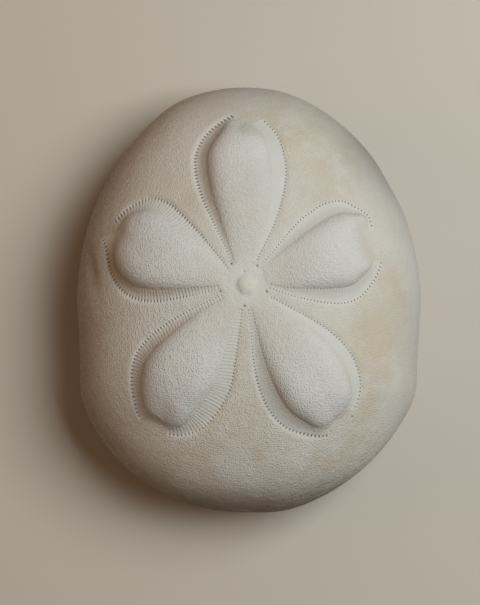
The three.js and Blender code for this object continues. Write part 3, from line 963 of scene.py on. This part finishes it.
margin = fade(height_mm, *MARGIN)
underneath = fade(height_mm, *UNDERNEATH)
left_side = fade(x_mm, *LEFT_SIDE)
right_side = ease(x_mm, *RIGHT_SIDE)
front_side = ease(y_mm, *FRONT_SIDE)
rear_half = fade(y_mm, *REAR_HALF)
rear_shade = product(fade(y_mm, *REAR_SIDE), fade(height_mm, *REAR_MARGIN))
# The left margin lies in shade; its tints below are painted warm shade.
shaded_left_margin = product(margin, left_side)
print("with the masks:", len(nodes), "nodes")

# %% [markdown]
# ## Knobs, wrinkles and clouds
# The skin is covered in tiny round knobs that once carried spines. They are small round cells,
# almost two to a millimetre on top and about one to a millimetre low down and underneath, and
# they are missing in the bands, in the food grooves and around the button. Around the margin run
# fine wrinkles, clearest on the left and at the rear. Grain, mottles and clouds break up the
# colour. Noise suits all of them, because on the real shell none of them repeats.

# %% Knobs, wrinkles, grain and clouds
TOP_KNOBS = 1.8
LOW_KNOBS = 1.1
LOW_TO_TOP = (16, 38)
KNOB_EDGE = (0.12, 0.5)
SMOOTH_SHARE = 0.85
WRINKLE_SCALE = 0.8
WRINKLE_UPWARDS = 0.65
WRINKLE_TOP = (24, 46)
WRINKLE_LOW = (12, 26, 0.25, 1.0)
WRINKLE_OFF_AXIS = (8, 34, 0.5, 1.0)

smooth = work("MAXIMUM", work("MAXIMUM", mark("band_floor"), mark("groove")),
              near_spot(*SMOOTH_MIDDLE))
knobby = work("SUBTRACT", 1.0, work("MULTIPLY", smooth, SMOOTH_SHARE))
cell_distance = nodes.new("ShaderNodeMix")
feed(cell_distance.inputs[0], fade(height_mm, *LOW_TO_TOP))
feed(cell_distance.inputs[2], cells(TOP_KNOBS))
feed(cell_distance.inputs[3], cells(LOW_KNOBS))
knobs = product(fade(cell_distance.outputs[0], *KNOB_EDGE), knobby)

streaks = wrinkles(WRINKLE_SCALE, WRINKLE_UPWARDS)
wrinkled = product(fade(height_mm, *WRINKLE_TOP), ease(height_mm, *WRINKLE_LOW),
                   work("MAXIMUM", left_side, rear_half),
                   ease(work("ABSOLUTE", x_mm), *WRINKLE_OFF_AXIS))

grain = noise(scale=3.2, detail=3.0, roughness=0.6)
clouds = noise(scale=0.06, detail=3.0, roughness=0.55, seed=3.0)
mottles = noise(scale=0.35, detail=3.0, roughness=0.6, seed=7.0)
stain_clouds = noise(scale=0.11, detail=4.0, roughness=0.6, seed=11.0)
chalk_clouds = noise(scale=0.12, detail=3.0, roughness=0.6, seed=17.0)
lumps = noise(scale=1.6, detail=3.0, roughness=0.6, seed=21.0)
print("with knobs, wrinkles and clouds:", len(nodes), "nodes")

# %% [markdown]
# ## Stains
# A few tan stains lie where the real shell has them, most of them on the right. Each is a soft
# spot with its own radius and strength, and slow noise eats into all of them, so that none looks
# round.

# %% Stains
STAINS = [(38, 0, 36, 17, 1.0), (34, -17, 36, 20, 0.9), (39, 9, 33, 12, 0.7),
          (15, 44, 40, 14, 0.6), (24, 37, 38, 12, 0.7), (27, -42, 34, 12, 0.7),
          (-3, -36, 43, 13, 0.6), (-20, -46, 33, 12, 0.4), (-36, -8, 36, 9, 0.4)]
STAIN_CLOUDS = (0.4, 0.62)

stains = 0.0
for *spot, strength in STAINS:
    stains = work("MAXIMUM", stains, product(near_spot(*spot), strength))
stains = product(stains, ease(stain_clouds, *STAIN_CLOUDS))
print("with", len(STAINS), "stains:", len(nodes), "nodes")

# %% [markdown]
# ## Colours, laid one over another
# The real colour is chalk white with clouds of cream, greyer on the backs of the petals, and
# darker brown between the knobs. Painted light and shade lie over it: warm painted shade and
# greyer petal backs at the left, painted shade on the margin, in the creases, furrows, pores and
# openings, and paler crests over darker valleys on the wrinkles. Thin tints are laid one over
# another, because each can be set against the photo on its own.

# %% Colour
CHALK = (0.66, 0.65, 0.595, 1.0)
CREAM = (0.57, 0.53, 0.43, 1.0)
CREAM_CLOUDS = (0.35, 0.7)
MOTTLES = (0.45, 0.75)
CHALK_CLOUDS = (0.44, 0.6)
WRINKLE_CRESTS = (0.5, 0.7)
WRINKLE_VALLEYS = (0.3, 0.5)
GAP_GRAIN = (0.3, 0.7, 0.4, 1.0)
OPENING_EDGE = (0.3, 0.9)
BUTTON_BOSS = (0.35, 0.7)
BUTTON_RING = (0.2, 0.42)
BUTTON_RING_INSIDE = (0.55, 0.75)
BUTTON_SHADE_SIDE = (BUTTON[0] - 2.4, BUTTON[0] - 0.6, 1.0, 0.15)

gaps = product(work("SUBTRACT", 1.0, knobs), knobby, ease(grain, *GAP_GRAIN))
from_button = near_spot(*BUTTON_SPOT)
# The ring is painted shade on the left flank of the button's boss.
button_left_shade = product(ease(from_button, *BUTTON_RING), fade(from_button, *BUTTON_RING_INSIDE),
                      ease(x_mm, *BUTTON_SHADE_SIDE))

# Where each tint lies, its colour and its strength, from the first laid to the last.
tints = [
    (near_spot(*MIDDLE), (0.66, 0.69, 0.68), 0.5),
    (mark("petal_back"), (0.73, 0.765, 0.79), 0.62),
    # Painted shade: the petal backs greyer at the left, where they lie in shade.
    (product(mark("petal_back"), left_side), (0.56, 0.555, 0.54), 0.45),
    (near_spot(*FRONT_PETAL), (0.53, 0.53, 0.51), 0.6),
    (ease(mottles, *MOTTLES), (0.72, 0.72, 0.69), 0.4),
    (stains, (0.56, 0.44, 0.29), 0.9),
    # Painted warm shade on the left margin.
    (shaded_left_margin, (0.74, 0.63, 0.525), 0.6),
    (product(ease(chalk_clouds, *CHALK_CLOUDS), rear_half), (0.73, 0.735, 0.71), 0.65),
    (rear_shade, (0.13, 0.105, 0.075), 0.95),
    # Painted shade: the front margin darker grey.
    (product(margin, front_side), (0.45, 0.43, 0.43), 0.6),
    # Painted warm shade on the left margin, paler and less yellow towards the front.
    (product(shaded_left_margin, ease(y_mm, *FRONT_LEFT)), (0.74, 0.69, 0.70), 0.7),
    # Painted shade: the right margin bluish grey where the light falls off.
    (product(margin, right_side), (0.54, 0.56, 0.585), 0.6),
    # Painted shade: a near-black patch on the front-right margin.
    (product(margin, near_spot(*FRONT_RIGHT)), (0.22, 0.225, 0.23), 0.9),
    (underneath, (0.52, 0.44, 0.34), 0.5),
    (mark("band_floor"), (0.59, 0.59, 0.565), 0.75),
    # Painted light and shade on the wrinkles: paler crests, darker valleys.
    (product(ease(streaks, *WRINKLE_CRESTS), wrinkled), (0.70, 0.69, 0.63), 0.6),
    (product(fade(streaks, *WRINKLE_VALLEYS), wrinkled), (0.44, 0.36, 0.26), 0.4),
    (gaps, (0.43, 0.36, 0.29), 0.55),
    # Painted shade: darker gaps between the knobs on the shaded left margin.
    (product(gaps, shaded_left_margin), (0.26, 0.20, 0.145), 1.2),
    # Painted shade in the creases at the petals' feet and in the dent.
    (mark("crease_shade"), (0.34, 0.26, 0.18), 0.6),
    # Painted shade on two band floors, brown on the left one and grey on the rear one.
    (product(mark("band_floor"), near_spot(*BROWN_SHADED_BAND)), (0.38, 0.275, 0.16), 0.8),
    (product(mark("band_floor"), near_spot(*GREY_SHADED_BAND)), (0.42, 0.41, 0.385), 0.6),
    (ease(from_button, *BUTTON_BOSS), (0.58, 0.60, 0.51), 0.6),
    # Painted shade on the left flank of the button.
    (button_left_shade, (0.40, 0.43, 0.43), 0.6),
    # Painted shade in the bottoms of the furrows.
    (furrows, (0.42, 0.34, 0.25), 0.2),
    # Painted shade inside the pores and the openings of mouth, vent and small pores.
    (pores, (0.1, 0.06, 0.035), 0.8),
    (ease(mark("opening"), *OPENING_EDGE), (0.1, 0.08, 0.065), 0.85),
]
colour = blend(CHALK, CREAM, ease(clouds, *CREAM_CLOUDS))
for mask, tint, strength in tints:
    colour = blend(colour, (*tint, 1.0), product(mask, strength))
print(len(tints), "tints laid over the chalk")

# %% [markdown]
# ## Fine relief and sheen
# What is finer than the mesh is left to the shading: knobs, grain, lumps, wrinkles and the sharp
# edges of the pores. The knobs stand out more low down, and the skin is rougher at the left and
# at the rear, where less of it is worn. The surface is matt, with a faint sheen.

# %% Bump, roughness and the finished material
SPECULAR = 0.3
SHEEN_GRAIN = (0.3, 0.7, 0.72, 0.92)
WORN_WAY = (0.8, 0.6)
WORN_RELIEF = (-60, 45, 2.0, 0.8)
BACK_RELIEF = (0, 1, 1.0, 1.2)
KNOB_RELIEF = (0.2, 0.085)

to_front_right = work("ADD", product(x_mm, WORN_WAY[0]), product(y_mm, WORN_WAY[1]))
coarseness = product(ease(to_front_right, *WORN_RELIEF), ease(mark("petal_back"), *BACK_RELIEF))

# Each kind of relief and its height in millimetres; a minus sign cuts in.
kinds = [
    (product(knobs, coarseness), ease(height_mm, *LOW_TO_TOP, *KNOB_RELIEF)),
    (grain, 0.03),
    (mottles, 0.2),
    (product(streaks, wrinkled), 0.9),
    (product(lumps, coarseness), 0.14),
    (furrows, -0.04),
    (pores, -0.2),
]
relief = 0.0
for kind, amount in kinds:
    relief = work("ADD", relief, product(kind, amount))
bump = nodes.new("ShaderNodeBump")
bump.inputs["Distance"].default_value = MM
feed(bump.inputs["Height"], relief)

principled = nodes["Principled BSDF"]
principled.inputs["Specular IOR Level"].default_value = SPECULAR
feed(principled.inputs["Base Color"], colour)
feed(principled.inputs["Roughness"], ease(grain, *SHEEN_GRAIN))
feed(principled.inputs["Normal"], bump.outputs["Normal"])
shell.data.materials.clear()
shell.data.materials.append(shell_material)
print(shell_material.name, "has", len(nodes), "nodes")

# %% [markdown]
# ## Floor and light
# The shell lies on a plain pale floor. One large soft light stands on its right and a little
# towards its front, as in the photograph. A weak warm one at the left and a faint warm sky fill
# the shade, which in the photograph is brown and not black.

# %% Stage
FLOOR_SIZE = 4
FLOOR_COLOUR = (0.52, 0.47, 0.4, 1)
SKY_COLOUR = (1, 0.6, 0.33, 1)
SKY_STRENGTH = 0.085
LIGHT_TARGET = Vector((0, 0, 0.02))
LIGHTS = {
    "key_light": {"place": (0.41, 0.185, 0.735), "energy": 6.8, "size": 0.5,
                  "colour": (0.93, 0.99, 1)},
    "fill_light": {"place": (-0.7, 0.1, 0.4), "energy": 1.1, "size": 0.6,
                   "colour": (1, 0.67, 0.47)},
}

bpy.ops.object.select_all(action="DESELECT")
bpy.ops.mesh.primitive_plane_add(size=FLOOR_SIZE, location=(0, 0, 0))
floor = bpy.context.object
floor.name = "floor"
floor_material = bpy.data.materials.new("pale_floor")
floor_material.use_nodes = True
floor_shader = floor_material.node_tree.nodes["Principled BSDF"]
floor_shader.inputs["Base Color"].default_value = FLOOR_COLOUR
floor.data.materials.append(floor_material)

scene = bpy.context.scene
scene.view_settings.view_transform = "Standard"
world = bpy.data.worlds.new("studio")
world.use_nodes = True
sky = world.node_tree.nodes["Background"]
sky.inputs["Color"].default_value = SKY_COLOUR
sky.inputs["Strength"].default_value = SKY_STRENGTH
scene.world = world


def add_light(name, place, energy, size, colour):
    bpy.ops.object.light_add(type="AREA", location=place)
    light = bpy.context.object
    light.name = name
    light.data.energy = energy
    light.data.size = size
    light.data.color = colour
    towards = LIGHT_TARGET - light.location
    light.rotation_euler = towards.to_track_quat("-Z", "Y").to_euler()


for name, values in LIGHTS.items():
    add_light(name, **values)
print("lights", list(LIGHTS), "over", floor.name)

# %% [markdown]
# ## Camera
# The photograph looks straight down on the shell, so the camera does too. From 70 cm there is
# little perspective, and the view is as high as the photograph at the widest section.

# %% Camera
CAMERA_DISTANCE = 0.7
CAMERA_ASIDE = (-0.0025, -0.0007)
VIEW_HEIGHT = 0.1712
SENSOR_HEIGHT = 36

camera_data = bpy.data.cameras.new("camera")
camera_data.sensor_fit = "VERTICAL"
camera_data.sensor_height = SENSOR_HEIGHT
camera_data.lens = SENSOR_HEIGHT * CAMERA_DISTANCE / VIEW_HEIGHT
camera = bpy.data.objects.new("camera", camera_data)
scene.collection.objects.link(camera)
camera.location = (*CAMERA_ASIDE, RIM_Z * MM + CAMERA_DISTANCE)
scene.camera = camera
print("camera lens", round(camera_data.lens, 1), "mm")
